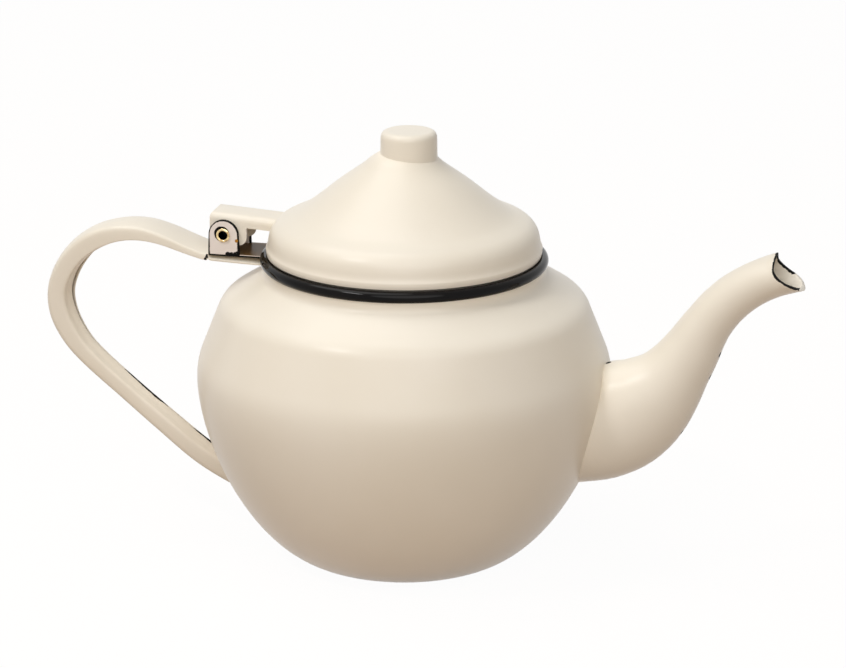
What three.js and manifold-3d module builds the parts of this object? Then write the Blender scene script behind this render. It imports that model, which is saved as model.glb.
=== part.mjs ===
// Enamelled steel tea kettle with a hinged lid, in millimetres, +Z up.
// The origin is the centre of the flat base. The spout points along +X and the handle along -X.

import * as THREE from 'three';
import { mergeVertices } from 'three/addons/utils/BufferGeometryUtils.js';
import Module from 'manifold-3d';

// Sheet metal, gaps and smoothness
const wall = 1.4;
const hingeSheet = 1.2;
const clearance = 0.3;
const overrun = 12;
const weldSnap = 0.0001;
const roundSteps = 48;
const smallRoundSteps = 24;

// Bowl, band, cone, shoulder and neck of the pot
const bodyRadius = 74.8;
const baseRadius = 34.3;
const bowlHeight = 66;
const bandHeight = 7;
const coneHeight = 23;
const coneTopRadius = 65.6;
const shoulderHeight = 9.4;
const neckHeight = 4;
const bowlFullness = 1.245;
const bowlSteps = 10;
const bandEase = 5;
const shoulderEase = 3.6;
const neckEase = 1.6;
const easeSteps = 2;
const easeShare = 0.3;
const arcSteps = 8;
const offsetKeepShare = 0.97;

// Rolled bead round the mouth
const mouthRadius = 47.7;
const beadThickness = 4;
const beadGrip = 0.9;
const beadSteps = 12;

// Lid
const lidOverlap = 1.8;
const lidLift = 2.5;
const lidRise = 35;
const flangePlay = 0.8;
const flangeDraft = 0.3;
const flangeDepth = 3;
const seatGap = 0.6;
const seatTurns = [155, 100];
const lidSteps = 15;

// Knob on the lid
const knobRadius = 10.2;
const knobHeight = 7.4;
const knobEase = 2.8;
const knobDraft = 0.2;
const knobOffset = 1.7;
const knobSkirt = 3.4;

// Hinge pin, bracket and arm
const pinSetback = 13;
const pinRise = 6.9;
const pinDiameter = 4;
const pinBore = 3.2;
const pinFlare = 5;
const pinFlareDepth = 0.5;
const earHalfLength = 5.75;
const earTopRadius = 5.5;
const bracketWidth = 17.4;
const plateDrop = 7;
const armWidth = 14;
const armTopRise = 7.8;
const armTail = 5.5;
const armSlope = 3.8;
const armCornerEase = 1;
const cheekLead = 8.1;
const cheekDrop = 4;
const cheekEase = 2;
const cheekLeadEase = 3.4;
const bridgeDepth = 4.3;

// Strap handle
const handleReach = 59;
const handleDrop = 92;
const strapThickness = 1;
const strapWidth = 17.4;
const strapDepth = 9;
const strapEase = 2.3;
const strapCrown = 0.6;
const strapCurl = 3.5;
const lipCrown = 0.6;
const heelHeight = 29.9;
const heelStandoff = 9.7;
const runSag = 0.9;
const footHeight = 18.6;
const footSink = 6;
const tongueThickness = 1;
const tongueDip = 0.7;
const tongueInset = 0.4;
const stepShare = 0.8;
const runSteps = 3;
const strapSteps = 34;

// Gooseneck spout
const spoutReach = 69.2;
const spoutRise = 63;
const spoutRootLevel = 52.6;
const spoutRootHalfHeight = 20.5;
const spoutRootHalfWidth = 16.3;
const spoutWall = 1.3;
const spoutSteps = 22;
const spoutArcSteps = 8;
const scoopSteps = 20;

// Strainer holes through the wall behind the spout
const strainerHole = 4.4;
const strainerPitch = 8.4;
const strainerRows = 4;
const strainerColumns = 3;
const strainerSides = 10;

// Levels and radii that follow from the sizes above
const beadRadius = mouthRadius + beadThickness / 2;
const neckRadius = beadRadius + wall / 2;
const shoulderLevel = bowlHeight + bandHeight + coneHeight;
const neckLevel = shoulderLevel + shoulderHeight;
const neckTop = neckLevel + neckHeight;
const beadLevel = neckTop - beadGrip + beadThickness / 2;
const lidLevel = beadLevel + beadThickness / 2 + lidLift;
const lidRadius = mouthRadius + lidOverlap;
const crownLevel = lidLevel + lidRise;
const seamLevel = bowlHeight + bandHeight / 2;
const pinX = -(beadRadius + beadThickness / 2 + pinSetback);
const pinLevel = beadLevel + pinRise;
const plateTop = pinLevel - plateDrop;
const plateBottom = plateTop - hingeSheet;
const bracketEnd = pinX - earHalfLength;

const kernel = await Module();
kernel.setup();

const rad = THREE.MathUtils.degToRad;

// A closed three.js geometry becomes a solid once its shared vertices are merged
function solidFrom(geometry) {
  const bare = geometry.clone();
  bare.deleteAttribute('normal');
  bare.deleteAttribute('uv');
  const merged = mergeVertices(bare, weldSnap);
  const corners = [];
  const { array } = merged.index;
  for (let at = 0; at < array.length; at += 3) {
    const [a, b, c] = [array[at], array[at + 1], array[at + 2]];
    if (a !== b && b !== c && c !== a) corners.push(a, b, c);
  }
  return new kernel.Manifold(new kernel.Mesh({
    numProp: 3,
    vertProperties: new Float32Array(merged.attributes.position.array),
    triVerts: new Uint32Array(corners),
  }));
}

function geometryFrom(solid) {
  const { vertProperties, triVerts } = solid.getMesh();
  const geometry = new THREE.BufferGeometry();
  geometry.setAttribute('position', new THREE.BufferAttribute(vertProperties, 3));
  geometry.setIndex(new THREE.BufferAttribute(triVerts, 1));
  geometry.computeVertexNormals();
  return geometry;
}

const point = (across, up) => new THREE.Vector2(across, up);

// Each corner between two straight runs is eased by a short curve that starts and ends that far from it
function easeCorners(corners) {
  const outline = [];
  corners.forEach(({ at, ease }, index) => {
    if (!ease) {
      outline.push(at);
      return;
    }
    const before = corners[index - 1].at;
    const after = corners[(index + 1) % corners.length].at;
    const start = at.clone().add(before.clone().sub(at).setLength(ease));
    const end = at.clone().add(after.clone().sub(at).setLength(ease));
    outline.push(...new THREE.QuadraticBezierCurve(start, at, end).getPoints(easeSteps));
  });
  return outline;
}

// Shortest way from a point to an open outline
function distanceTo(outline, { x, y }) {
  const from = new THREE.Vector3(x, y, 0);
  const nearest = new THREE.Vector3();
  const ways = outline.slice(1).map((after, index) => {
    const before = outline[index];
    const start = new THREE.Vector3(before.x, before.y, 0);
    const end = new THREE.Vector3(after.x, after.y, 0);
    return new THREE.Line3(start, end).closestPointToPoint(from, true, nearest).distanceTo(from);
  });
  return Math.min(...ways);
}

// An open outline moved sideways by a distance, to the left of its direction, without the points that
// its tight bends push back towards it
function offsetOutline(outline, distance) {
  const moved = outline.map((at, index) => {
    const before = outline[Math.max(index - 1, 0)];
    const after = outline[Math.min(index + 1, outline.length - 1)];
    const into = (index ? at.clone().sub(before) : after.clone().sub(at)).normalize();
    const out = (index < outline.length - 1 ? after.clone().sub(at) : at.clone().sub(before)).normalize();
    const side = point(-into.y - out.y, into.x + out.x).normalize();
    const stretch = side.x * -into.y + side.y * into.x;
    const beside = at.clone().add(side.multiplyScalar(distance / stretch));
    return at.x === 0 ? point(0, beside.y) : beside;
  });
  const least = Math.abs(distance) * offsetKeepShare;
  return moved.filter((at) => distanceTo(outline, at) > least);
}

// An outline turned about an upright axis. One that doesn't start on the axis is closed on itself.
function turned(outline, steps, axisX = 0) {
  const whole = outline[0].x === 0 ? outline : [...outline, outline[0]];
  return solidFrom(new THREE.LatheGeometry(whole, steps).rotateX(rad(90)).translate(axisX, 0, 0));
}

// A shape drawn in X and Z, as thick as the width along Y and centred on the middle plane
function plateSolid(shape, width) {
  const options = { depth: width, bevelEnabled: false, curveSegments: arcSteps };
  const plate = new THREE.ExtrudeGeometry(shape, options);
  return solidFrom(plate.rotateX(rad(90)).translate(0, width / 2, 0));
}

// A round bar along Y
function crossBar(radius, length, x, z) {
  const bar = new THREE.CylinderGeometry(radius, radius, length, smallRoundSteps);
  return solidFrom(bar.translate(x, 0, z));
}

// Sections of one count of points joined in order and capped at both ends. Each has its middle, the
// tilt of its path and an outline that runs anticlockwise across (Y) and up from the path.
function loft(stations) {
  const count = stations[0].outline.length;
  const positions = stations.flatMap(({ at, tilt, outline }) => outline.flatMap(({ x, y }) => [
    at.x - y * Math.sin(tilt), x, at.y + y * Math.cos(tilt)]));
  const faces = [];
  const last = (stations.length - 1) * count;
  for (let ring = 0; ring < last; ring += count) {
    for (let side = 0; side < count; side += 1) {
      const a = ring + side;
      const b = ring + (side + 1) % count;
      faces.push(a, b, a + count, b, b + count, a + count);
    }
  }
  for (const [a, b, c] of THREE.ShapeUtils.triangulateShape(stations[0].outline, [])) {
    faces.push(c, b, a);
  }
  for (const [a, b, c] of THREE.ShapeUtils.triangulateShape(stations.at(-1).outline, [])) {
    faces.push(last + a, last + b, last + c);
  }
  const geometry = new THREE.BufferGeometry();
  geometry.setAttribute('position', new THREE.Float32BufferAttribute(positions, 3));
  geometry.setIndex(faces);
  return solidFrom(geometry);
}

// Bowl wall at a turn from the base's edge to the widest level
function bowlPoint(turn) {
  const out = Math.sin(turn) ** bowlFullness;
  const down = Math.cos(turn) ** bowlFullness;
  return point(baseRadius + (bodyRadius - baseRadius) * out, bowlHeight * (1 - down));
}

// The turn at which the bowl wall reaches a height
function bowlTurn(height) {
  return Math.acos((1 - height / bowlHeight) ** (1 / bowlFullness));
}

// Outside of the pot from the middle of its base to the top of its neck
function potOutline() {
  const bowl = [point(0, 0)];
  for (let step = 0; step < bowlSteps; step += 1) {
    bowl.push(bowlPoint(rad(90) * step / bowlSteps));
  }
  const upper = easeCorners([
    { at: point(bodyRadius, bowlHeight) },
    { at: point(bodyRadius, bowlHeight + bandHeight), ease: bandEase },
    { at: point(coneTopRadius, shoulderLevel), ease: shoulderEase },
    { at: point(neckRadius, neckLevel), ease: neckEase },
    { at: point(neckRadius, neckTop) },
  ]);
  return bowl.concat(upper);
}

// Outside of the bead with a groove below, which the top of the neck stands in
function beadOutline(grow) {
  const radius = beadThickness / 2 + grow;
  const groove = wall / 2 + clearance;
  const from = Math.asin(groove / radius);
  const outline = [];
  for (let step = 0; step <= beadSteps; step += 1) {
    const turn = from + (rad(360) - 2 * from) * step / beadSteps - rad(90);
    outline.push(point(beadRadius + radius * Math.cos(turn), beadLevel + radius * Math.sin(turn)));
  }
  return outline;
}

function beadSolid() {
  const groove = wall / 2 + clearance;
  const grooveTop = neckTop + clearance;
  const outline = beadOutline(0);
  outline.push(point(beadRadius - groove, grooveTop), point(beadRadius + groove, grooveTop));
  return turned(outline, roundSteps);
}

// Wall of the pot from the base to the top of the neck
function wallSolid() {
  const outside = potOutline();
  const inside = offsetOutline(outside, wall).reverse();
  inside[0].y = neckTop;
  return turned([...outside, ...inside], roundSteps);
}

// Drawn bowl up to the weld round the band, with the strainer holes behind the spout
function bowlSolid() {
  let bowl = wallSolid().trimByPlane([0, 0, -1], clearance / 2 - seamLevel);
  for (const [y, z] of strainerPlaces()) {
    const drill = new THREE.CylinderGeometry(strainerHole / 2, strainerHole / 2, bodyRadius, strainerSides);
    bowl = bowl.subtract(solidFrom(drill.rotateZ(rad(90)).translate(bodyRadius, y, z)));
  }
  return bowl;
}

// Cone, shoulder and neck, drawn as one and welded on the bowl
function shoulderSolid() {
  return wallSolid().trimByPlane([0, 0, 1], seamLevel + clearance / 2);
}

function strainerPlaces() {
  const places = [];
  for (let row = 0; row < strainerRows; row += 1) {
    const columns = strainerColumns - row % 2;
    const z = spoutRootLevel + (row - (strainerRows - 1) / 2) * strainerPitch;
    for (let column = 0; column < columns; column += 1) {
      places.push([(column - (columns - 1) / 2) * strainerPitch, z]);
    }
  }
  return places;
}

// The space that the pot and its bead take up, with the gap that welded pieces keep to it
function potSpace() {
  const outside = offsetOutline(potOutline(), -clearance);
  outside.push(point(0, outside[outside.length - 1].y));
  return turned(outside, roundSteps).add(turned(beadOutline(clearance), roundSteps));
}

// Radius and height of points down the lid's outside, as shares of its radius and rise
const lidShares = [
  [0, 1], [0.12, 1], [0.19, 0.974], [0.25, 0.92], [0.299, 0.86], [0.473, 0.682], [0.636, 0.496],
  [0.717, 0.41], [0.788, 0.346], [0.859, 0.3], [0.909, 0.265], [0.943, 0.222], [0.966, 0.17],
  [0.978, 0.115], [0.988, 0.04], [1, 0],
];

// Outside of the lid from the foot of its flange up to the crown
function lidOutline() {
  const dome = lidShares.map(([out, up]) => point(out * lidRadius, lidLevel + up * lidRise));
  const curve = new THREE.SplineCurve(dome).getPoints(lidSteps).reverse();
  curve[curve.length - 1].x = 0;
  const foot = mouthRadius - flangePlay - flangeDraft;
  const reach = beadThickness / 2 + seatGap;
  const seat = seatTurns.map((turn) => point(
    beadRadius + reach * Math.cos(rad(turn)), beadLevel + reach * Math.sin(rad(turn))));
  return [
    point(foot, beadLevel - flangeDepth),
    point(foot + flangeDraft, beadLevel + clearance),
    ...seat,
    point(lidRadius - clearance / 2, lidLevel - lidLift / 2),
    ...curve,
  ];
}

function lidSolid() {
  const outside = lidOutline();
  const inside = offsetOutline(outside, wall).reverse();
  return turned([...outside, ...inside], roundSteps);
}

// The space that the lid takes up, with the gap that its arm keeps to it
function lidSpace() {
  const outside = offsetOutline(lidOutline(), -clearance);
  return turned([point(0, outside[0].y), ...outside], roundSteps);
}

// Pressed cup, open below, whose foot follows the lid's crown
function knobSolid() {
  const top = crownLevel + clearance + knobHeight;
  const outside = easeCorners([
    { at: point(knobRadius, crownLevel - knobSkirt) },
    { at: point(knobRadius - knobDraft, top), ease: knobEase },
    { at: point(0, top) },
  ]);
  const inside = offsetOutline(outside, wall).reverse();
  return turned([...outside, ...inside], smallRoundSteps, knobOffset).subtract(lidSpace());
}

// Plate with two upright ears that the pin passes through
function bracketSolid() {
  const plate = new THREE.Shape([
    point(bracketEnd, plateBottom),
    point(-beadRadius, plateBottom),
    point(-beadRadius, plateTop),
    point(bracketEnd, plateTop),
  ]);
  const ear = new THREE.Shape();
  ear.moveTo(bracketEnd, plateBottom);
  ear.lineTo(pinX + earHalfLength, plateBottom);
  ear.lineTo(pinX + earTopRadius, pinLevel);
  ear.absarc(pinX, pinLevel, earTopRadius, 0, rad(180));
  ear.lineTo(bracketEnd, plateBottom);
  const between = bracketWidth - 2 * hingeSheet;
  const room = new THREE.Shape([
    point(bracketEnd - overrun, plateTop),
    point(pinX + overrun, plateTop),
    point(pinX + overrun, pinLevel + overrun),
    point(bracketEnd - overrun, pinLevel + overrun),
  ]);
  return plateSolid(ear, bracketWidth)
    .subtract(plateSolid(room, between))
    .add(plateSolid(plate, bracketWidth))
    .subtract(crossBar(pinDiameter / 2 + clearance, bracketWidth + overrun, pinX, pinLevel))
    .subtract(potSpace());
}

// Brass tube whose flared ends lie outside the ears
function pinSolid() {
  const half = bracketWidth / 2 + clearance;
  const outside = [
    point(pinBore / 2, -half - pinFlareDepth),
    point(pinFlare / 2, -half - pinFlareDepth),
    point(pinFlare / 2, -half),
    point(pinDiameter / 2, -half),
    point(pinDiameter / 2, half),
    point(pinFlare / 2, half),
    point(pinFlare / 2, half + pinFlareDepth),
    point(pinBore / 2, half + pinFlareDepth),
    point(pinBore / 2, -half - pinFlareDepth),
  ];
  return solidFrom(new THREE.LatheGeometry(outside, smallRoundSteps).translate(pinX, 0, pinLevel));
}

// Inverted channel from the pin to the lid, deep at the cheeks and shallow at the bridge
function armSolid() {
  const slope = Math.tan(rad(armSlope));
  const topAt = (x) => pinLevel + armTopRise - (x - pinX + armTail) * slope;
  const tail = pinX - armTail;
  const lead = pinX + cheekLead;
  const end = -mouthRadius + overrun;
  const cheekFoot = pinLevel - cheekDrop;
  const outline = easeCorners([
    { at: point(end, topAt(end)) },
    { at: point(tail, topAt(tail)), ease: armCornerEase },
    { at: point(tail, cheekFoot), ease: cheekEase },
    { at: point(lead, cheekFoot), ease: cheekLeadEase },
    { at: point(lead, topAt(lead) - bridgeDepth) },
    { at: point(end, topAt(end) - bridgeDepth) },
  ]);
  const room = new THREE.Shape([
    point(end + overrun, topAt(end + overrun) - hingeSheet),
    point(tail - overrun, topAt(tail - overrun) - hingeSheet),
    point(tail - overrun, cheekFoot - overrun),
    point(end + overrun, cheekFoot - overrun),
  ]);
  return plateSolid(new THREE.Shape(outline), armWidth)
    .subtract(plateSolid(room, armWidth - 2 * hingeSheet))
    .subtract(crossBar(pinDiameter / 2 + clearance, armWidth + overrun, pinX, pinLevel))
    .subtract(lidSpace());
}

// Places down the handle from the bracket to the end of its bend, as shares of its reach and drop,
// with the strap's width, depth and curled lip there as shares of the full ones
const handleShares = [
  { out: 0, down: 0, wide: 1, deep: 0.34, curl: 0 },
  { out: 0.05, down: -0.006, wide: 1, deep: 0.34, curl: 0 },
  { out: 0.163, down: -0.029, wide: 0.985, deep: 0.4, curl: 0 },
  { out: 0.298, down: -0.059, wide: 0.97, deep: 0.49, curl: 0 },
  { out: 0.44, down: -0.077, wide: 0.935, deep: 0.63, curl: 0 },
  { out: 0.588, down: -0.071, wide: 0.9, deep: 0.73, curl: 0 },
  { out: 0.734, down: -0.037, wide: 0.845, deep: 0.85, curl: 0.1 },
  { out: 0.86, down: 0.023, wide: 0.78, deep: 0.91, curl: 0.25 },
  { out: 0.953, down: 0.105, wide: 0.72, deep: 0.94, curl: 0.45 },
  { out: 1.001, down: 0.198, wide: 0.655, deep: 1, curl: 0.7 },
  { out: 0.986, down: 0.291, wide: 0.62, deep: 1.06, curl: 0.9 },
  { out: 0.923, down: 0.377, wide: 0.59, deep: 1.03, curl: 1 },
  { out: 0.834, down: 0.45, wide: 0.57, deep: 0.96, curl: 1 },
];
const runShares = { wide: 0.55, deep: 0.88, curl: 1 };
const footShares = { wide: 0.57, deep: 1, curl: 1 };

// Middle of the strap with its width, depth and lip, from the bracket down to the bowl
function handleStations() {
  const startX = bracketEnd - clearance;
  const startLevel = plateTop - strapDepth * handleShares[0].deep / 2;
  const sizeOf = ({ wide, deep, curl }) => new THREE.Vector3(
    wide * strapWidth, deep * strapDepth, strapThickness + curl * strapCurl);
  const runSize = sizeOf(runShares);
  const footSize = sizeOf(footShares);
  const stations = handleShares.map((share) => ({
    at: new THREE.Vector3(startX - share.out * handleReach, startLevel - share.down * handleDrop, 0),
    size: sizeOf(share),
  }));
  const heel = bowlPoint(bowlTurn(heelHeight));
  const foot = bowlPoint(bowlTurn(footHeight));
  const bend = stations.at(-1).at;
  const low = new THREE.Vector3(-heel.x - heelStandoff, heel.y, 0);
  for (let step = 1; step <= runSteps; step += 1) {
    const at = bend.clone().lerp(low, step / runSteps);
    at.y -= runSag * Math.sin(rad(180) * step / runSteps);
    stations.push({ at, size: runSize.clone().lerp(footSize, step / runSteps) });
  }
  stations.push({ at: new THREE.Vector3(footSink - foot.x, foot.y, 0), size: footSize });
  return stations;
}

// Half of the channel's section, from the lip's end round to the crown, across and outward
function strapHalf(wide, deep, lip, inset) {
  const ease = Math.max(Math.min(strapEase, deep / 2 - strapCrown) - inset, clearance / 2);
  const edge = Math.min(Math.max((lip - inset) / 2, clearance / 2), ease);
  const side = wide / 2 - inset;
  const end = inset - deep / 2;
  const foot = end + Math.max(lip - strapThickness, 0) / strapCurl * lipCrown;
  const top = deep / 2 - inset - strapCrown;
  return [
    point(wide / 2 - lip, end),
    point(side - edge, foot),
    point(side - edge * easeShare, foot + edge * easeShare),
    point(side, foot + edge),
    point(side, top - ease),
    point(side - ease * easeShare, top - ease * easeShare),
    point(side - ease, top),
    point(0, deep / 2 - inset),
  ];
}

// Whole section of the channel, anticlockwise across and towards the inside of the handle's loop
function strapSection(wide, deep, lip) {
  const round = (inset) => {
    const half = strapHalf(wide, deep, lip, inset);
    return [...half, ...half.slice(0, -1).reverse().map(({ x, y }) => point(-x, y))];
  };
  const section = [...round(0), ...round(strapThickness).reverse()];
  return section.reverse().map(({ x, y }) => point(x, -y));
}

// Strap from the bracket to the bowl, with the flat tongue that steps down under the bracket and runs
// on to the neck
function handleSolid() {
  const stations = handleStations();
  const middle = new THREE.CatmullRomCurve3(stations.map(({ at }) => at));
  const sizes = new THREE.CatmullRomCurve3(stations.map(({ size }) => size));
  const sections = [];
  for (let step = 0; step <= strapSteps; step += 1) {
    const share = step / strapSteps;
    const along = middle.getTangent(share);
    const size = sizes.getPoint(share);
    sections.push({
      at: middle.getPoint(share),
      tilt: Math.atan2(along.y, along.x),
      outline: strapSection(size.x, size.y, size.z),
    });
  }
  const stepFront = bracketEnd - 2 * clearance;
  const stepBack = stepFront - strapThickness;
  const stepTop = plateTop - strapThickness * stepShare;
  const tongueTop = plateBottom - clearance;
  const tongue = new THREE.Shape([
    point(stepBack, tongueTop - tongueThickness),
    point(-beadRadius, tongueTop - tongueThickness - tongueDip),
    point(-beadRadius, tongueTop),
    point(stepFront, tongueTop),
    point(stepFront, stepTop),
    point(stepBack, stepTop),
  ]);
  return loft(sections)
    .add(plateSolid(tongue, bracketWidth - 2 * tongueInset))
    .subtract(potSpace());
}

// Sections along the spout: place as shares of reach and rise, tilt in degrees, and half height and half
// width as shares of those at the root
const spoutShares = [
  { out: -0.159, up: -0.012, tilt: 4, high: 1, wide: 1.04 },
  { out: 0.004, up: 0.018, tilt: 12, high: 0.965, wide: 1 },
  { out: 0.114, up: 0.098, tilt: 28, high: 0.965, wide: 0.93 },
  { out: 0.23, up: 0.199, tilt: 42, high: 0.82, wide: 0.83 },
  { out: 0.317, up: 0.296, tilt: 48, high: 0.661, wide: 0.74 },
  { out: 0.38, up: 0.403, tilt: 54, high: 0.553, wide: 0.655 },
  { out: 0.438, up: 0.51, tilt: 57, high: 0.493, wide: 0.6 },
  { out: 0.495, up: 0.626, tilt: 55, high: 0.436, wide: 0.56 },
  { out: 0.561, up: 0.732, tilt: 49, high: 0.406, wide: 0.53 },
  { out: 0.641, up: 0.823, tilt: 38, high: 0.39, wide: 0.505 },
  { out: 0.733, up: 0.896, tilt: 28, high: 0.374, wide: 0.515 },
  { out: 0.834, up: 0.952, tilt: 22, high: 0.364, wide: 0.57 },
  { out: 0.94, up: 0.991, tilt: 20, high: 0.366, wide: 0.6 },
  { out: 1.05, up: 1.031, tilt: 20, high: 0.37, wide: 0.6 },
];

// Places down the cut that opens the tip, as shares of the spout's reach and rise
const scoopShares = [
  { out: 0.847, up: 1.084 }, { out: 0.843, up: 1.019 }, { out: 0.854, up: 0.997 },
  { out: 0.872, up: 0.976 }, { out: 0.902, up: 0.952 }, { out: 0.938, up: 0.931 },
  { out: 0.966, up: 0.912 }, { out: 0.994, up: 0.886 },
];

const spoutPlace = ({ out, up }) => point(bodyRadius + out * spoutReach, spoutRootLevel + up * spoutRise);

// Half of the spout's wall in section, on the near side for -1 and on the far side for 1
function spoutSection(high, wide, side) {
  const arc = (inset) => {
    const points = [];
    for (let step = 0; step <= spoutArcSteps; step += 1) {
      const turn = rad(180) * step / spoutArcSteps;
      const across = step % spoutArcSteps ? Math.sin(turn) * (wide - inset) : 0;
      points.push(point(side * across, Math.cos(turn) * (high - inset)));
    }
    return points;
  };
  const section = [...arc(0), ...arc(spoutWall).reverse()];
  return side < 0 ? section : section.reverse();
}

// Curved slanting cut that opens the spout's tip
function scoopSolid() {
  const cut = new THREE.SplineCurve(scoopShares.map((share) => spoutPlace(share))).getPoints(scoopSteps);
  const [top, lip] = [cut[0], cut.at(-1)];
  const along = lip.clone().sub(top).normalize();
  const outward = point(-along.y, along.x);
  const beyond = lip.clone().addScaledVector(along, overrun);
  const above = top.clone().addScaledVector(along, -overrun);
  const reach = 2 * overrun;
  const shape = new THREE.Shape([
    above,
    ...cut,
    beyond,
    beyond.clone().addScaledVector(outward, reach),
    above.clone().addScaledVector(outward, reach),
  ]);
  return plateSolid(shape, 2 * spoutRootHalfWidth + overrun);
}

// One pressed half of the spout, on the near side for -1 and on the far side for 1
function spoutHalfSolid(side) {
  const places = spoutShares.map((share) => spoutPlace(share));
  const middle = new THREE.CatmullRomCurve3(places.map(({ x, y }) => new THREE.Vector3(x, y, 0)));
  const sizes = new THREE.CatmullRomCurve3(spoutShares.map(({ tilt, high, wide }) => new THREE.Vector3(
    high * spoutRootHalfHeight, wide * spoutRootHalfWidth, rad(tilt))));
  const sections = [];
  for (let step = 0; step <= spoutSteps; step += 1) {
    const { x: high, y: wide, z: tilt } = sizes.getPoint(step / spoutSteps);
    sections.push({
      at: middle.getPoint(step / spoutSteps),
      tilt,
      outline: spoutSection(high, wide, side),
    });
  }
  return loft(sections)
    .subtract(potSpace())
    .subtract(scoopSolid());
}

const enamel = { color: 0xf1e6d2, roughness: 0.16, metalness: 0 };
const blackEnamel = { color: 0x14110f, roughness: 0.15, metalness: 0 };
const brass = { color: 0xb08a45, roughness: 0.35, metalness: 1 };

function piece(name, solid, finish) {
  const mesh = new THREE.Mesh(geometryFrom(solid), new THREE.MeshStandardMaterial(finish));
  mesh.name = name;
  return mesh;
}

const kettle = new THREE.Group();
kettle.name = 'tea_kettle';
kettle.add(
  piece('body_bowl', bowlSolid(), enamel),
  piece('body_shoulder', shoulderSolid(), enamel),
  piece('mouth_bead', beadSolid(), blackEnamel),
  piece('spout_near_half', spoutHalfSolid(-1), enamel),
  piece('spout_far_half', spoutHalfSolid(1), enamel),
  piece('handle_strap', handleSolid(), enamel),
  piece('hinge_bracket', bracketSolid(), enamel),
  piece('hinge_pin', pinSolid(), brass),
  piece('hinge_arm', armSolid(), enamel),
  piece('lid_shell', lidSolid(), enamel),
  piece('lid_knob', knobSolid(), enamel),
);

export default kettle;
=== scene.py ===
import bmesh
import bpy
import math
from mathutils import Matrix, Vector


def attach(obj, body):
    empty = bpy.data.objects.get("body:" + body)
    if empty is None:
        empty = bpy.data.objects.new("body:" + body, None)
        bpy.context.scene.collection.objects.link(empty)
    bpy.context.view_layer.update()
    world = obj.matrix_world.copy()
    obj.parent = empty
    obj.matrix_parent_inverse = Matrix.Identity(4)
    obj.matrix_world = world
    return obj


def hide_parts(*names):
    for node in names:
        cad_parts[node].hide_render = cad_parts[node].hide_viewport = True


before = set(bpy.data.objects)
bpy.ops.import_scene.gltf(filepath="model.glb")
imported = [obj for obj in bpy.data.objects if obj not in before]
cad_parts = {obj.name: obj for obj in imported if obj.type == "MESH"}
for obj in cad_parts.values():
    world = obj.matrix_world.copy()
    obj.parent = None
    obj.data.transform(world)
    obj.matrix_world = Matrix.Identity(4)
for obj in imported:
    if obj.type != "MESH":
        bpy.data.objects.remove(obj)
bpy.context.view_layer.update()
mm = 0.001


# Small helpers for selecting, growing and finishing a piece

def take(piece):
    bpy.ops.object.select_all(action="DESELECT")
    piece.select_set(True)
    bpy.context.view_layer.objects.active = piece


def edit(piece):
    take(piece)
    bpy.ops.object.mode_set(mode="EDIT")
    bpy.ops.mesh.select_mode(type="VERT")
    bpy.ops.mesh.select_all(action="SELECT")


def leave():
    bpy.ops.object.mode_set(mode="OBJECT")


# Selects the vertices, edges or faces of the mesh in edit mode that pass a test
def pick(piece, kind, test):
    bpy.ops.mesh.select_mode(type=kind)
    bpy.ops.mesh.select_all(action="DESELECT")
    shape = bmesh.from_edit_mesh(piece.data)
    parts = {"VERT": shape.verts, "EDGE": shape.edges, "FACE": shape.faces}[kind]
    for part in parts:
        part.select_set(bool(test(part)))
    bmesh.update_edit_mesh(piece.data)


def extrude(step):
    bpy.ops.mesh.extrude_region_move(TRANSFORM_OT_translate={"value": step})


def between(before, after):
    return tuple(b - a for a, b in zip(before, after))


# A chain of edges, from a small plane merged to one vertex; it stays in edit mode, all selected
def drawLine(name, points):
    bpy.ops.object.select_all(action="DESELECT")
    bpy.ops.mesh.primitive_plane_add(size=mm, location=points[0])
    line = bpy.context.object
    line.name = name
    bpy.ops.object.transform_apply(location=True, rotation=True, scale=True)
    bpy.ops.object.mode_set(mode="EDIT")
    bpy.ops.mesh.select_mode(type="VERT")
    bpy.ops.mesh.merge(type="CENTER")
    for before, after in zip(points, points[1:]):
        extrude(between(before, after))
    bpy.ops.mesh.select_all(action="SELECT")
    return line


# A flat outline filled with a face and pulled out into a block
def drawBlock(name, points, step):
    block = drawLine(name, points)
    bpy.ops.mesh.edge_face_add()
    extrude(step)
    bpy.ops.mesh.select_all(action="SELECT")
    bpy.ops.mesh.normals_make_consistent(inside=False)
    leave()
    return block


# An outline in X and Z turned all the way round
def turnRound(name, outline, steps, centre=(0, 0, 0), axis=(0, 0, 1), closed=False):
    piece = drawLine(name, outline)
    if closed:
        ends = [Vector(outline[0]), Vector(outline[-1])]
        pick(piece, "VERT", lambda v: min((v.co - end).length for end in ends) < mm / 1000)
        bpy.ops.mesh.edge_face_add()
        bpy.ops.mesh.select_all(action="SELECT")
    bpy.ops.mesh.spin(steps=steps, angle=math.tau, center=centre, axis=axis)
    bpy.ops.mesh.select_all(action="SELECT")
    bpy.ops.mesh.remove_doubles(threshold=mm / 200)
    bpy.ops.mesh.normals_make_consistent(inside=False)
    leave()
    return piece


# Turns an open sheet over if its face nearest to a place doesn't point that way
def faceTowards(piece, place, way):
    nearest = min(piece.data.polygons, key=lambda face: (face.center - Vector(place)).length)
    if nearest.normal.dot(Vector(way)) < 0:
        edit(piece)
        bpy.ops.mesh.flip_normals()
        leave()


def apply(piece, kind, **settings):
    take(piece)
    modifier = piece.modifiers.new(kind, kind)
    for key, value in settings.items():
        setattr(modifier, key, value)
    bpy.ops.object.modifier_apply(modifier=modifier.name)


def thicken(piece, wall, rim=0):
    apply(piece, "SOLIDIFY", thickness=wall, offset=-1, use_even_offset=True, material_offset_rim=rim)


def carve(piece, cutter, operation="DIFFERENCE", keep=False):
    apply(piece, "BOOLEAN", object=cutter, operation=operation, solver="EXACT")
    if not keep:
        bpy.data.objects.remove(cutter)


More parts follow.
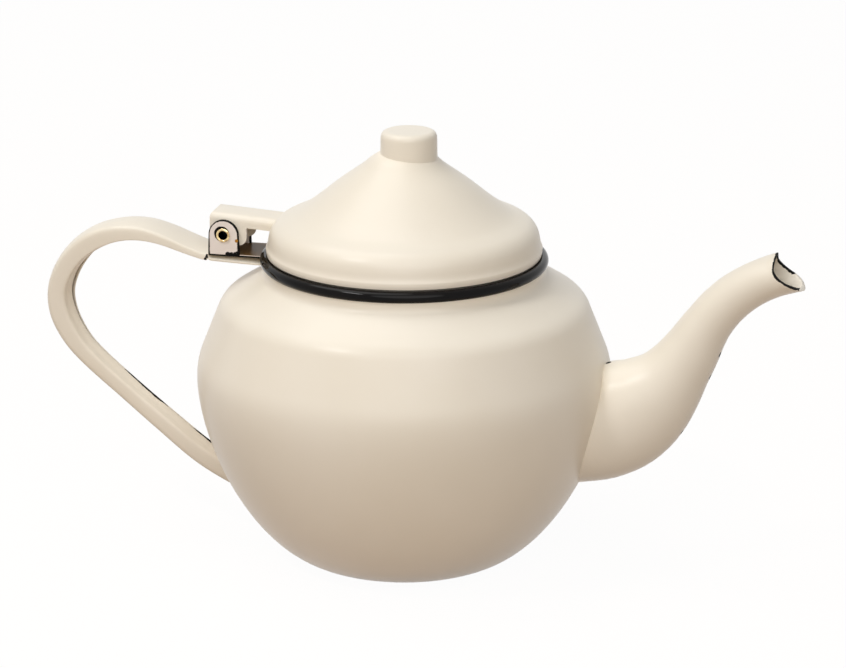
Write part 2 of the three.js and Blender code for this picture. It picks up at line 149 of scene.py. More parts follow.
# Merges doubles and fills what a cut has left open
def close(piece):
    edit(piece)
    bpy.ops.mesh.remove_doubles(threshold=mm / 200)
    bpy.ops.mesh.fill_holes(sides=0)
    leave()


def smooth(piece, degrees=35):
    take(piece)
    bpy.ops.object.shade_smooth_by_angle(angle=math.radians(degrees))


# A smooth run of values through given ones, a few between each two
def runThrough(rows, steps):
    def lerp(a, b, start, end, t):
        share = (t - start) / (end - start)
        return [x + (y - x) * share for x, y in zip(a, b)]

    def mirrorEnd(a, b):
        return [2 * x - y for x, y in zip(a, b)]

    padded = [mirrorEnd(rows[0], rows[1]), *rows, mirrorEnd(rows[-1], rows[-2])]
    run = []
    for index in range(len(rows) - 1):
        a, b, c, d = padded[index:index + 4]
        knots = [0]
        for before, after in ((a, b), (b, c), (c, d)):
            knots.append(knots[-1] + max(math.dist(before, after) ** 0.5, 1e-4))
        for step in range(steps):
            t = knots[1] + (knots[2] - knots[1]) * step / steps
            ab = lerp(a, b, knots[0], knots[1], t)
            bc = lerp(b, c, knots[1], knots[2], t)
            cd = lerp(c, d, knots[2], knots[3], t)
            abc = lerp(ab, bc, knots[0], knots[2], t)
            bcd = lerp(bc, cd, knots[1], knots[3], t)
            run.append(lerp(abc, bcd, knots[1], knots[2], t))
    run.append(list(rows[-1]))
    return run


# Corners (x, z, ease) of an outline, each eased corner replaced by a short curve
def easeCorners(corners, steps=6):
    outline = []
    for index, (x, z, ease) in enumerate(corners):
        if not ease:
            outline.append((x, z))
            continue
        at = Vector((x, z))
        before = Vector(corners[index - 1][:2])
        after = Vector(corners[(index + 1) % len(corners)][:2])
        start = at + (before - at).normalized() * ease
        end = at + (after - at).normalized() * ease
        for step in range(steps + 1):
            t = step / steps
            spot = start * (1 - t) ** 2 + at * (2 * t * (1 - t)) + end * t ** 2
            outline.append((spot.x, spot.y))
    return outline


def arc(x, z, radius, start, end, steps):
    turns = [math.radians(start + (end - start) * step / steps) for step in range(steps + 1)]
    return [(x + radius * math.cos(turn), z + radius * math.sin(turn)) for turn in turns]


def upright(outline, y=0):
    return [(x, y, z) for x, z in outline]


# Materials

# A hex colour as the linear values that the shaders want
def colour(code):
    parts = [int(code[at:at + 2], 16) / 255 for at in (1, 3, 5)]
    return (*[p / 12.92 if p < 0.04045 else ((p + 0.055) / 1.055) ** 2.4 for p in parts], 1)


# Adds a node; a setting is an input's value where the node has such an input
def addNode(tree, kind, settings={}, links={}):
    node = tree.nodes.new(kind)
    for key, value in settings.items():
        if isinstance(key, int) or key in node.inputs:
            node.inputs[key].default_value = value
        else:
            setattr(node, key, value)
    for key, source in links.items():
        tree.links.new(source, node.inputs[key])
    return node


def newMaterial(name, shader):
    material = bpy.data.materials.new(name)
    material.use_nodes = True
    tree = material.node_tree
    tree.nodes.clear()
    gloss = addNode(tree, "ShaderNodeBsdfPrincipled", shader)
    addNode(tree, "ShaderNodeOutputMaterial", {}, {"Surface": gloss.outputs[0]})
    place = addNode(tree, "ShaderNodeTexCoord").outputs["Object"]
    return material, tree, gloss, place


def perMm(size):
    return 1 / (size * mm)


enamel = {
    "cream": "#F4EBDB", "warmCream": "#F0E6D4", "drift": 60, "driftSpan": (0.2, 0.8),
    "gloss": 0.32, "chippedGloss": 0.12, "matt": (0.285, 0.35),
    "wave": 38, "waveHeight": 0.16, "peel": 2.4, "peelHeight": 0.006,
    "pinholeGap": 34, "pinhole": (0.0105, 0.007), "iron": "#6A5A48",
}
chip = {"black": "#070605", "halo": "#3D332B", "grain": 1.1, "ragged": 1.0, "haloWidth": 0.12, "edge": 0.1,
        "matt": 0.5}
runOff = {"edge": 0.05, "depth": 0.5, "ragged": 0.4}
glassIor = 1.52


# Cream vitreous enamel fired on pressed steel: a glassy coat, a little wavy like the sheet below it, in
# soft drifts of a warmer cream, with a fine orange peel and a rare pinhole that shows the iron
def firedCream(name, tone=enamel["cream"], warmTone=enamel["warmCream"], shine=enamel["gloss"]):
    material, tree, gloss, place = newMaterial(name, {"IOR": glassIor, "Specular IOR Level": shine})
    drift = addNode(tree, "ShaderNodeTexNoise", {"Scale": perMm(enamel["drift"]), "Detail": 3},
                    {"Vector": place}).outputs[0]
    warm = addNode(tree, "ShaderNodeMapRange",
                   {"interpolation_type": "SMOOTHERSTEP", "From Min": enamel["driftSpan"][0],
                    "From Max": enamel["driftSpan"][1]}, {"Value": drift}).outputs[0]
    skin = addNode(tree, "ShaderNodeMix", {"data_type": "RGBA", 6: colour(tone), 7: colour(warmTone)},
                   {0: warm})
    spots = addNode(tree, "ShaderNodeTexVoronoi", {"Scale": perMm(enamel["pinholeGap"])}, {"Vector": place})
    hole = addNode(tree, "ShaderNodeMapRange",
                   {"From Min": enamel["pinhole"][0], "From Max": enamel["pinhole"][1]},
                   {"Value": spots.outputs["Distance"]}).outputs[0]
    skin = addNode(tree, "ShaderNodeMix", {"data_type": "RGBA", 7: colour(enamel["iron"])},
                   {0: hole, 6: skin.outputs[2]})
    matt = addNode(tree, "ShaderNodeMapRange", {"To Min": enamel["matt"][0], "To Max": enamel["matt"][1]},
                   {"Value": drift})
    wave = addNode(tree, "ShaderNodeTexNoise", {"Scale": perMm(enamel["wave"]), "Detail": 0},
                   {"Vector": place})
    peel = addNode(tree, "ShaderNodeTexNoise", {"Scale": perMm(enamel["peel"]), "Detail": 1},
                   {"Vector": place})
    wavy = addNode(tree, "ShaderNodeBump", {"Strength": 1, "Distance": enamel["waveHeight"] * mm},
                   {"Height": wave.outputs[0]})
    skinBump = addNode(tree, "ShaderNodeBump", {"Strength": 1, "Distance": enamel["peelHeight"] * mm},
                       {"Height": peel.outputs[0], "Normal": wavy.outputs[0]})
    tree.links.new(skin.outputs[2], gloss.inputs["Base Color"])
    tree.links.new(matt.outputs[0], gloss.inputs["Roughness"])
    tree.links.new(skinBump.outputs[0], gloss.inputs["Normal"])
    return material, tree, gloss, place


# The cream has chipped off or run thin where the depth in mm is under a width, raggedly, down to the black
# ground coat or another colour, with a thin brown halo. Some callers use the same black as painted shade in
# gaps, slots and holes.
def paintChipsAndShade(parts, depth, width, ragged=chip["ragged"], bare=chip["black"], halo=chip["halo"]):
    material, tree, gloss, place = parts
    skin, matt = [gloss.inputs[name].links[0].from_socket for name in ("Base Color", "Roughness")]
    crumbs = addNode(tree, "ShaderNodeTexNoise",
                     {"Scale": perMm(chip["grain"]), "Detail": 4, "Roughness": 0.7}, {"Vector": place})
    torn = addNode(tree, "ShaderNodeMath", {"operation": "MULTIPLY_ADD", 1: ragged, 2: -ragged / 2},
                   {0: crumbs.outputs[0]})
    reach = addNode(tree, "ShaderNodeMath", {"operation": "ADD"}, {0: depth, 1: torn.outputs[0]}).outputs[0]
    ring = addNode(tree, "ShaderNodeMapRange", {"From Min": width + chip["haloWidth"], "From Max": width},
                   {"Value": reach})
    gone = addNode(tree, "ShaderNodeMapRange", {"From Min": width, "From Max": width - chip["edge"]},
                   {"Value": reach}).outputs[0]
    ringed = addNode(tree, "ShaderNodeMix", {"data_type": "RGBA", 7: colour(halo)},
                     {0: ring.outputs[0], 6: skin})
    chipped = addNode(tree, "ShaderNodeMix", {"data_type": "RGBA", 7: colour(bare)},
                      {0: gone, 6: ringed.outputs[2]})
    dull = addNode(tree, "ShaderNodeMath", {"operation": "MULTIPLY_ADD", 1: chip["matt"]}, {0: gone, 2: matt})
    tree.links.new(chipped.outputs[2], gloss.inputs["Base Color"])
    tree.links.new(dull.outputs[0], gloss.inputs["Roughness"])


# How far a point lies from a round outline in X and Z, in mm; below its middle the outline may run straight
def fromRound(parts, x, z, radius, straight=False):
    material, tree, gloss, place = parts
    apart = addNode(tree, "ShaderNodeVectorMath", {"operation": "SUBTRACT", 1: (x * mm, 0, z * mm)},
                    {0: place}).outputs[0]
    axes = addNode(tree, "ShaderNodeSeparateXYZ", {}, {0: apart})
    up = axes.outputs["Z"]
    if straight:
        up = addNode(tree, "ShaderNodeMath", {"operation": "MAXIMUM", 1: 0}, {0: up}).outputs[0]
    flat = addNode(tree, "ShaderNodeCombineXYZ", {}, {"X": axes.outputs["X"], "Z": up})
    out = addNode(tree, "ShaderNodeVectorMath", {"operation": "LENGTH"},
                  {0: flat.outputs[0]}).outputs["Value"]
    left = addNode(tree, "ShaderNodeMath", {"operation": "MULTIPLY_ADD", 1: -1 / mm, 2: radius}, {0: out})
    return addNode(tree, "ShaderNodeMath", {"operation": "ABSOLUTE"}, {0: left.outputs[0]}).outputs[0]


# How far a point lies from the nearest of some spots, in mm
def fromSpots(parts, spots):
    material, tree, gloss, place = parts
    nearest = None
    for spot in spots:
        away = addNode(tree, "ShaderNodeVectorMath",
                       {"operation": "DISTANCE", 1: [each * mm for each in spot]}, {0: place})
        far = addNode(tree, "ShaderNodeMath", {"operation": "MULTIPLY", 1: 1 / mm},
                      {0: away.outputs["Value"]}).outputs[0]
        nearest = far if nearest is None else addNode(
            tree, "ShaderNodeMath", {"operation": "MINIMUM"}, {0: nearest, 1: far}).outputs[0]
    return nearest


# How far a point lies behind a cut, in mm; the cut is a chain of points in X and Z that bends inwards
def behindCut(parts, points):
    material, tree, gloss, place = parts
    deepest = None
    for before, after in zip(points, points[1:]):
        along = (Vector(after) - Vector(before)).normalized()
        inward = (along.y, 0, -along.x)
        level = inward[0] * before[0] + inward[2] * before[1]
        reach = addNode(tree, "ShaderNodeVectorMath", {"operation": "DOT_PRODUCT", 1: inward}, {0: place})
        depth = addNode(tree, "ShaderNodeMath", {"operation": "MULTIPLY_ADD", 1: 1 / mm, 2: -level / mm},
                        {0: reach.outputs["Value"]}).outputs[0]
        deepest = depth if deepest is None else addNode(
            tree, "ShaderNodeMath", {"operation": "MAXIMUM"}, {0: deepest, 1: depth}).outputs[0]
    return deepest


# How far a point lies from the middle plane, in mm, up to a stray more or less by turns along it
def fromSeam(parts, patch, stray):
    material, tree, gloss, place = parts
    aside = addNode(tree, "ShaderNodeVectorMath", {"operation": "DOT_PRODUCT", 1: (0, 1 / mm, 0)}, {0: place})
    far = addNode(tree, "ShaderNodeMath", {"operation": "ABSOLUTE"}, {0: aside.outputs["Value"]})
    turns = addNode(tree, "ShaderNodeTexNoise", {"Scale": perMm(patch), "Detail": 2}, {"Vector": place})
    more = addNode(tree, "ShaderNodeMath", {"operation": "MULTIPLY_ADD", 1: 2 * stray, 2: -stray},
                   {0: turns.outputs[0]})
    return addNode(tree, "ShaderNodeMath", {"operation": "ADD"},
                   {0: far.outputs[0], 1: more.outputs[0]}).outputs[0]


# Folded edges of the sheet, where the cream has run off: the ground coat shows along a share of them
def bareAlongEdge(name, patch, share):
    parts = firedCream(name, shine=enamel["chippedGloss"])
    material, tree, gloss, place = parts
    patches = addNode(tree, "ShaderNodeTexNoise", {"Scale": perMm(patch), "Detail": 2}, {"Vector": place})
    depth = addNode(tree, "ShaderNodeMapRange",
                    {"From Min": share - runOff["edge"], "From Max": share + runOff["edge"]},
                    {"Value": patches.outputs[0]})
    paintChipsAndShade(parts, depth.outputs[0], runOff["depth"], ragged=runOff["ragged"])
    return material


blackGlass = {
    "black": "#060404", "brown": "#0E0A08", "drift": 9, "brownSpan": (0.4, 0.65),
    "peel": 1.8, "peelHeight": 0.008, "gloss": 0.12, "matt": (0.03, 0.07),
}


# Black enamel fired over the rolled bead: a thick glassy coat with sharp highlights
def firedBlack(name):
    shader = {"IOR": glassIor, "Specular IOR Level": blackGlass["gloss"]}
    material, tree, gloss, place = newMaterial(name, shader)
    drift = addNode(tree, "ShaderNodeTexNoise", {"Scale": perMm(blackGlass["drift"]), "Detail": 3},
                    {"Vector": place}).outputs[0]
    brown = addNode(tree, "ShaderNodeMapRange",
                    {"From Min": blackGlass["brownSpan"][0], "From Max": blackGlass["brownSpan"][1]},
                    {"Value": drift})
    skin = addNode(tree, "ShaderNodeMix", {"data_type": "RGBA", 6: colour(blackGlass["black"]),
                                           7: colour(blackGlass["brown"])}, {0: brown.outputs[0]})
    matt = addNode(tree, "ShaderNodeMapRange",
                   {"To Min": blackGlass["matt"][0], "To Max": blackGlass["matt"][1]}, {"Value": drift})
    peel = addNode(tree, "ShaderNodeTexNoise", {"Scale": perMm(blackGlass["peel"]), "Detail": 2},
                   {"Vector": place})
    bump = addNode(tree, "ShaderNodeBump", {"Strength": 1, "Distance": blackGlass["peelHeight"] * mm},
                   {"Height": peel.outputs[0]})
    tree.links.new(skin.outputs[2], gloss.inputs["Base Color"])
    tree.links.new(matt.outputs[0], gloss.inputs["Roughness"])
    tree.links.new(bump.outputs[0], gloss.inputs["Normal"])
    return material


brass = {
    "bright": "#EBD3A0", "tarnish": "#8A5F2A", "boreShade": "#0E0907", "patch": 1.6, "patchSpan": (0.48, 0.68),
    "matt": (0.26, 0.5), "nick": 0.6, "nickDepth": 0.01,
}


# Yellow brass tube with rolled ends: pale and bright where it rubs, brown tarnish in patches
def wornBrass(name, bright, tarnish):
    material, tree, gloss, place = newMaterial(name, {"Metallic": 1.0})
    cloud = addNode(tree, "ShaderNodeTexNoise",
                    {"Scale": perMm(brass["patch"]), "Detail": 4, "Roughness": 0.6}, {"Vector": place})
    patch = addNode(tree, "ShaderNodeMapRange",
                    {"From Min": brass["patchSpan"][0], "From Max": brass["patchSpan"][1]},
                    {"Value": cloud.outputs[0]}).outputs[0]
    skin = addNode(tree, "ShaderNodeMix", {"data_type": "RGBA", 6: colour(bright), 7: colour(tarnish)},
                   {0: patch})
    matt = addNode(tree, "ShaderNodeMapRange", {"To Min": brass["matt"][0], "To Max": brass["matt"][1]},
                   {"Value": patch})
    nicks = addNode(tree, "ShaderNodeTexNoise", {"Scale": perMm(brass["nick"])}, {"Vector": place})
    bump = addNode(tree, "ShaderNodeBump", {"Strength": 1, "Distance": brass["nickDepth"] * mm},
                   {"Height": nicks.outputs[0]})
    tree.links.new(skin.outputs[2], gloss.inputs["Base Color"])
    tree.links.new(matt.outputs[0], gloss.inputs["Roughness"])
    tree.links.new(bump.outputs[0], gloss.inputs["Normal"])
    return material


creamEnamel = firedCream("creamEnamelFiredOnSteel")[0]
blackEnamel = firedBlack("blackEnamelOnRolledBead")
bareEdge = bareAlongEdge("creamEnamelRunOffEdge", 14, 0.5)
plateEdge = bareAlongEdge("burntCreamEnamelEdge", 6, 0.72)
brassTube = wornBrass("wornYellowBrass", brass["bright"], brass["tarnish"])
# The bore's inside is painted near black: painted shade inside the tube
brassBore = wornBrass("yellowBrassPaintedBoreShade", brass["boreShade"], brass["boreShade"])


# Puts a finished piece in the frame with its node, body and materials
def dress(piece, nodes, body, materials):
    piece.data.materials.clear()
    for material in materials:
        piece.data.materials.append(material)
    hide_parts(*nodes)
    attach(piece, body)
    print("made", piece.name, len(piece.data.polygons), "faces")


# Gives the faces that pass a test another of the piece's materials
def paint(piece, index, test):
    for face in piece.data.polygons:
        if test(face):
            face.material_index = index


# Pot: bowl, band, cone, shoulder and neck in one enamelled wall

pot = {
    "widest": 74.8 * mm, "base": 34.3 * mm, "baseRings": (0, 0.5, 0.85), "bowlHeight": 66 * mm,
    "fullness": 1.245, "bowlSteps": 30, "bandTop": 73 * mm, "coneTop": (65.6 * mm, 96 * mm),
    "neck": (50.4 * mm, 105.4 * mm), "neckTop": 109.4 * mm,
    "bandEase": 5 * mm, "shoulderEase": 3.6 * mm, "neckEase": 1.6 * mm,
    "wall": 1.4 * mm, "steps": 120,
}
strainer = {"hole": 2.2 * mm, "pitch": 8.4 * mm, "rows": 4, "columns": 3, "level": 52.6 * mm, "sides": 20}
bead = {"middle": (49.7 * mm, 110.5 * mm), "radius": 2 * mm, "groove": 1 * mm, "grooveTop": 109.7 * mm,
        "underside": 1.8 * mm, "underTurn": -55, "steps": 160, "rollSteps": 22}


def potWall(neckTop):
    wall = [(pot["base"] * share, 0) for share in pot["baseRings"]]
    for step in range(pot["bowlSteps"]):
        turn = math.pi / 2 * step / pot["bowlSteps"]
        out = math.sin(turn) ** pot["fullness"]
        down = math.cos(turn) ** pot["fullness"]
        wall.append((pot["base"] + (pot["widest"] - pot["base"]) * out, pot["bowlHeight"] * (1 - down)))
    return wall + easeCorners([
        (pot["widest"], pot["bowlHeight"], 0),
        (pot["widest"], pot["bandTop"], pot["bandEase"]),
        (*pot["coneTop"], pot["shoulderEase"]),
        (*pot["neck"], pot["neckEase"]),
        (pot["neck"][0], neckTop, 0),
    ])


# Closed forms of the pot with its bead, and of the lid, which trim what is welded on them
def potForm():
    outline = potWall(bead["middle"][1] - bead["underside"])
    outline += arc(*bead["middle"], bead["radius"], bead["underTurn"], 90, 10)
    outline.append((0, bead["middle"][1] + bead["radius"]))
    return turnRound("potForm", upright(outline), pot["steps"])


potShell = turnRound("PotShell", upright(potWall(pot["neckTop"])), pot["steps"])
faceTowards(potShell, (0, -pot["widest"], pot["bowlHeight"]), (0, -1, 0))
thicken(potShell, pot["wall"])
drill = None
for row in range(strainer["rows"]):
    columns = strainer["columns"] - row % 2
    z = strainer["level"] + (row - (strainer["rows"] - 1) / 2) * strainer["pitch"]
    for column in range(columns):
        y = (column - (columns - 1) / 2) * strainer["pitch"]
        if drill is None:
            bpy.ops.object.select_all(action="DESELECT")
            bpy.ops.mesh.primitive_cylinder_add(vertices=strainer["sides"], radius=strainer["hole"],
                                                depth=pot["widest"], location=(pot["widest"], y, z),
                                                rotation=(0, math.pi / 2, 0))
            drill = bpy.context.object
            drill.name = "strainerDrill"
            bpy.ops.object.transform_apply(location=True, rotation=True, scale=True)
            first = (y, z)
            drills = [drill]
            continue
        copy = drill.copy()
        copy.data = drill.data.copy()
        bpy.context.collection.objects.link(copy)
        edit(copy)
        bpy.ops.transform.translate(value=(0, y - first[0], z - first[1]))
        leave()
        drills.append(copy)
for each in drills:
    carve(potShell, each)
smooth(potShell, 30)
dress(potShell, ["body_bowl", "body_shoulder"], "pot", [creamEnamel])

trim = potForm()


# Bead: the rolled edge of the mouth, with the neck's edge standing in its groove

grooveTurn = math.degrees(math.asin(bead["groove"] / bead["radius"]))
roll = arc(*bead["middle"], bead["radius"], grooveTurn - 90, 270 - grooveTurn, bead["rollSteps"])
roll += [(bead["middle"][0] - bead["groove"], bead["grooveTop"]),
         (bead["middle"][0] + bead["groove"], bead["grooveTop"])]
mouthBead = turnRound("MouthBead", upright(roll), bead["steps"], closed=True)
smooth(mouthBead, 40)
dress(mouthBead, ["mouth_bead"], "pot", [blackEnamel])


# Lid: drawn dome with a turned-in foot that drops into the mouth

lid = {
    "radius": 49.5 * mm, "level": 115 * mm, "rise": 35 * mm, "wall": 1.4 * mm, "steps": 128, "between": 4,
    "foot": [(46.6, 107.5), (46.9, 110.8), (47.05, 111.35), (47.34, 111.6), (48.2, 112.62), (49.25, 113.06),
             (49.35, 113.75)],
    "dome": [(0, 1), (0.12, 1), (0.19, 0.974), (0.25, 0.92), (0.299, 0.86), (0.473, 0.682), (0.636, 0.496),
             (0.717, 0.41), (0.788, 0.346), (0.859, 0.3), (0.909, 0.265), (0.943, 0.222), (0.966, 0.17),
             (0.978, 0.115), (0.988, 0.04), (1, 0)],
}


def lidWall():
    dome = runThrough([(out * lid["radius"], lid["level"] + up * lid["rise"]) for out, up in lid["dome"]],
                      lid["between"])
    foot = [(x * mm, z * mm) for x, z in lid["foot"]]
    return [(max(x, 0), min(z, lid["level"] + lid["rise"])) for x, z in dome] + foot[::-1]


lidShell = turnRound("LidShell", upright(lidWall()), lid["steps"])
faceTowards(lidShell, (0, -lid["radius"], lid["level"]), (0, -1, 0))
thicken(lidShell, lid["wall"])
smooth(lidShell, 40)
dress(lidShell, ["lid_shell"], "lid", [creamEnamel])

lidForm = turnRound("lidForm", upright(lidWall() + [(0, lid["foot"][0][1] * mm)]), lid["steps"])


# Knob: a pressed cup welded on the crown

knob = {"radius": 10.2, "foot": 146.4, "top": 157.7, "ease": 2.8, "draft": 0.2, "dish": 0.25, "off": 1.7,
        "steps": 72}
cup = easeCorners([
    (knob["radius"], knob["foot"], 0),
    (knob["radius"] - knob["draft"], knob["top"], knob["ease"]),
    (0, knob["top"] - knob["dish"], 0),
], 8)
cup = [((x + knob["off"]) * mm, z * mm) for x, z in cup]
lidKnob = turnRound("LidKnob", upright(cup), knob["steps"], centre=(knob["off"] * mm, 0, 0))
faceTowards(lidKnob, (knob["off"] * mm, 0, 1), (0, 0, 1))
thicken(lidKnob, lid["wall"])
carve(lidKnob, lidForm, keep=True)
smooth(lidKnob, 40)
dress(lidKnob, ["lid_knob"], "lid", [creamEnamel])


# Spout: a ring grown along the gooseneck, cut by a hollow slant at the tip and parted along its weld

spout = {
    "start": (74.8 * mm, 52.6 * mm), "reach": 69.2 * mm, "rise": 63 * mm,
    "halfHeight": 20.5 * mm, "halfWidth": 16.3 * mm,
    "wall": 1.3 * mm, "sides": 48, "between": 4, "spread": 20,
    "rows": [  # out, up, tilt, high, wide
        (-0.159, -0.012, 4, 1, 1.04), (0.004, 0.018, 12, 0.965, 1), (0.114, 0.098, 28, 0.965, 0.93),
        (0.23, 0.199, 42, 0.82, 0.83), (0.317, 0.296, 48, 0.661, 0.74), (0.38, 0.403, 54, 0.553, 0.655),
        (0.438, 0.51, 57, 0.493, 0.6), (0.495, 0.626, 55, 0.436, 0.56), (0.561, 0.732, 49, 0.406, 0.53),
        (0.641, 0.823, 38, 0.39, 0.505), (0.733, 0.896, 28, 0.374, 0.515), (0.834, 0.952, 22, 0.364, 0.57),
        (0.94, 0.991, 20, 0.366, 0.6), (1.05, 1.031, 20, 0.37, 0.6)],
    "cut": [(0.847, 1.084), (0.843, 1.019), (0.854, 0.997), (0.872, 0.976), (0.902, 0.952), (0.938, 0.931),
            (0.966, 0.912), (0.994, 0.886)],
    "cutPast": 12 * mm, "cutHalf": 20 * mm, "sharp": 0.6,
    "round": 0.35 * mm, "roundReach": 0.5 * mm, "roundBelow": 1.5 * mm, "rim": 2.4 * mm,
    "nearChip": {"width": 0.6, "line": slice(0, 26, 5), "end": 1.2 * mm},
    "farChip": {"width": 0.66, "line": slice(0, 25, 6), "end": 3.2 * mm},
    "specks": [(114.7, -1.6, 83), (111.4, -1.5, 74.4), (102, -1.8, 53.2), (74.7, 0.1, 76.7)],
    "speck": 1.05, "speckRagged": 0.3,
}


def spoutSpot(out, up):
    return Vector((spout["start"][0] + out * spout["reach"], 0, spout["start"][1] + up * spout["rise"]))


# Place, tilt, half height and half width of each ring; the shares are spread to weigh like the tilts
def spoutStations():
    spread = spout["spread"]
    spots = runThrough([tuple(spoutSpot(out, up) / mm) for out, up, *rest in spout["rows"]], spout["between"])
    sizes = runThrough([(tilt, high * spread, wide * spread) for out, up, tilt, high, wide in spout["rows"]],
                       spout["between"])
    return [(Vector(spot) * mm, math.radians(tilt), high / spread * spout["halfHeight"],
             wide / spread * spout["halfWidth"]) for spot, (tilt, high, wide) in zip(spots, sizes)]


stations = spoutStations()
at, tilt, high, wide = stations[0]
bpy.ops.object.select_all(action="DESELECT")
bpy.ops.mesh.primitive_circle_add(vertices=spout["sides"], radius=high, location=at,
                                  rotation=(0, math.pi / 2 - tilt, 0))
spoutNear = bpy.context.object
spoutNear.name = "SpoutNearHalf"
bpy.ops.object.transform_apply(location=True, rotation=True, scale=True)
edit(spoutNear)
bpy.ops.transform.resize(value=(1, wide / high, 1), center_override=at)
for before, after in zip(stations, stations[1:]):
    extrude(tuple(after[0] - before[0]))
    bpy.ops.transform.rotate(value=after[1] - before[1], orient_axis="Y", center_override=after[0])
    grow = after[2] / before[2]
    bpy.ops.transform.resize(value=(grow, after[3] / before[3], grow), center_override=after[0])
bpy.ops.mesh.select_all(action="SELECT")
bpy.ops.mesh.normals_make_consistent(inside=False)
leave()
halfway = stations[len(stations) // 2][0]
faceTowards(spoutNear, (halfway.x, -1, halfway.z), (0, -1, 0))
thicken(spoutNear, spout["wall"])
carve(spoutNear, trim, keep=True)

slant = runThrough([(spot.x, spot.z) for spot in (spoutSpot(*share) for share in spout["cut"])], 4)
top, lip = Vector(slant[0]), Vector(slant[-1])
along = (lip - top).normalized()
outward = Vector((-along.y, along.x))
past = along * spout["cutPast"]
off = outward * 2 * spout["cutPast"]
cutter = [tuple(top - past), *slant, tuple(lip + past), tuple(lip + past + off), tuple(top - past + off)]
carve(spoutNear, drawBlock("tipCutter", upright(cutter, -spout["cutHalf"]), (0, 2 * spout["cutHalf"], 0)))


def fromSlant(spot):
    return min((Vector((spot.x, spot.z)) - Vector(each)).length for each in slant)


def onSlant(vertex):
    return fromSlant(vertex.co) < spout["roundReach"] and vertex.co.z > lip.y - spout["roundBelow"]


edit(spoutNear)
pick(spoutNear, "EDGE", lambda e: onSlant(e.verts[0]) and onSlant(e.verts[1])
     and e.calc_face_angle(0) > spout["sharp"])
bpy.ops.mesh.bevel(offset=spout["round"], segments=3, profile=0.5, clamp_overlap=True)
leave()

spoutFar = spoutNear.copy()
spoutFar.data = spoutNear.data.copy()
spoutFar.name = "SpoutFarHalf"
bpy.context.collection.objects.link(spoutFar)
for piece, side in ((spoutNear, 1), (spoutFar, -1)):
    edit(piece)
    bpy.ops.mesh.bisect(plane_co=(0, 0, 0), plane_no=(0, side, 0), use_fill=True, clear_outer=True)
    leave()
    close(piece)
    smooth(piece, 40)

# The cream has chipped off the tip's rim from its top down, further down on the near side
for piece, node, half, rimChip in ((spoutNear, "spout_near_half", "Near", spout["nearChip"]),
                                   (spoutFar, "spout_far_half", "Far", spout["farChip"])):
    speckled = firedCream("creamEnamelWithWeldSpecks" + half)
    paintChipsAndShade(speckled, fromSpots(speckled, spout["specks"]), spout["speck"], ragged=spout["speckRagged"])
    rim = firedCream("creamEnamelChippedAtTip" + half, shine=enamel["chippedGloss"])
    paintChipsAndShade(rim, behindCut(rim, slant[rimChip["line"]]), rimChip["width"])
    dress(piece, [node], "pot", [speckled[0], rim[0]])
    lowest = lip.y + rimChip["end"]
    paint(piece, 1, lambda f: fromSlant(f.center) < spout["rim"] and f.center.z > lowest)


# Handle: one sheet, wide and shallow under the hinge, folded into a nearly closed tube lower down

strap = {
    "start": (-70.75 * mm, 110.4 * mm), "reach": 59 * mm, "drop": 92 * mm,
    "wide": 17.4, "deep": 9.0, "sheet": 1 * mm,
    "crown": 0.6, "lipCrown": 1.1, "lipRise": 0.9, "ease": 2.6, "curl": 3.5, "hem": 1, "between": 3,
    "rows": [  # out, down, wide, deep, curl
        (0, 0, 1, 0.34, 0), (0.05, -0.006, 1, 0.34, 0), (0.163, -0.029, 0.985, 0.4, 0),
        (0.298, -0.059, 0.97, 0.49, 0),
        (0.44, -0.077, 0.935, 0.63, 0), (0.588, -0.071, 0.9, 0.73, 0), (0.734, -0.037, 0.845, 0.85, 0.1),
        (0.86, 0.023, 0.78, 0.91, 0.3), (0.953, 0.105, 0.72, 0.94, 0.55), (1.001, 0.198, 0.655, 1, 0.85),
        (0.986, 0.291, 0.62, 1.06, 1), (0.923, 0.377, 0.59, 1.03, 1), (0.834, 0.45, 0.57, 0.96, 1)],
    "run": (0.55, 0.88, 1), "foot": (0.57, 1, 1), "runSag": 0.9 * mm, "heel": 29.9 * mm, "heelOff": 9.7 * mm,
    "footLevel": 18.6 * mm, "sink": 6 * mm,
    "gloss": 0.25, "chips": [(-70.9, -8.6, 109.6), (-71.1, -8.6, 108.8), (-71.6, -8.6, 108.1)], "chip": 0.5,
    "chipRagged": 0.9, "seamTop": 62 * mm, "seamHalf": 1.1 * mm, "seamPatch": 16, "seamStray": 2,
    "seamChipAndShade": 0.4, "seamRagged": 0.4, "topEdge": (0.4 * mm, 0.95 * mm),
    "tongue": [(0, -0.5), (0.3, -1.1), (0.9, -1.5), (1.6, -1.5), (9, -1.8), (23, -2.3)],
}


def bowlRadius(height):
    turn = math.acos((1 - height / pot["bowlHeight"]) ** (1 / pot["fullness"]))
    return pot["base"] + (pot["widest"] - pot["base"]) * math.sin(turn) ** pot["fullness"]


